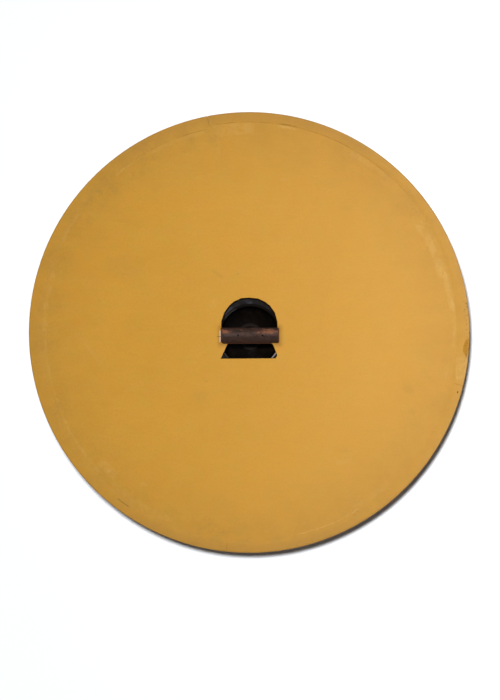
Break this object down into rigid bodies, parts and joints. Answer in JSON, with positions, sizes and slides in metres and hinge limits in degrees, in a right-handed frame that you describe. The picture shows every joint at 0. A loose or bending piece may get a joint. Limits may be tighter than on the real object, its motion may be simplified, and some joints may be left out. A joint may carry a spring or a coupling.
{
  "type": "wooden round shield",
  "caption": "Flat round wooden shield in ochre paint, with lapped hide edging, a leather-wrapped grip across its hand hole and an iron boss.",
  "frame": {"origin": "on the ground under the middle of the board, with the shield lying on its boss", "axes": "+Z out of the back of the board, where the grip is; +Y from the grip towards the arched half of the hand hole; +X along the grip to the right as seen from behind"},
  "size_m": [0.84, 0.84, 0.0851],
  "materials": {
    "painted_board": "brushed ochre paint, low sheen",
    "painted_hide": "the same ochre paint over folded hide, worn",
    "grip_leather": "dark brown, handled, worn at the ends",
    "boss_iron": "blackened, half gloss",
    "nail_iron": "dark, hammered"
  },
  "bodies": {
    "root": {"board": "painted_board", "rim_strip_left": "painted_hide", "rim_strip_lower_right": "painted_hide", "rim_strip_upper_right": "painted_hide", "grip_wrap": "grip_leather", "grip_tack_1": "nail_iron", "grip_tack_2": "nail_iron", "boss": "boss_iron", "boss_nail_1": "nail_iron", "boss_nail_2": "nail_iron", "boss_nail_3": "nail_iron", "boss_nail_4": "nail_iron", "boss_nail_5": "nail_iron", "boss_nail_6": "nail_iron"}
  },
  "joints": []
}
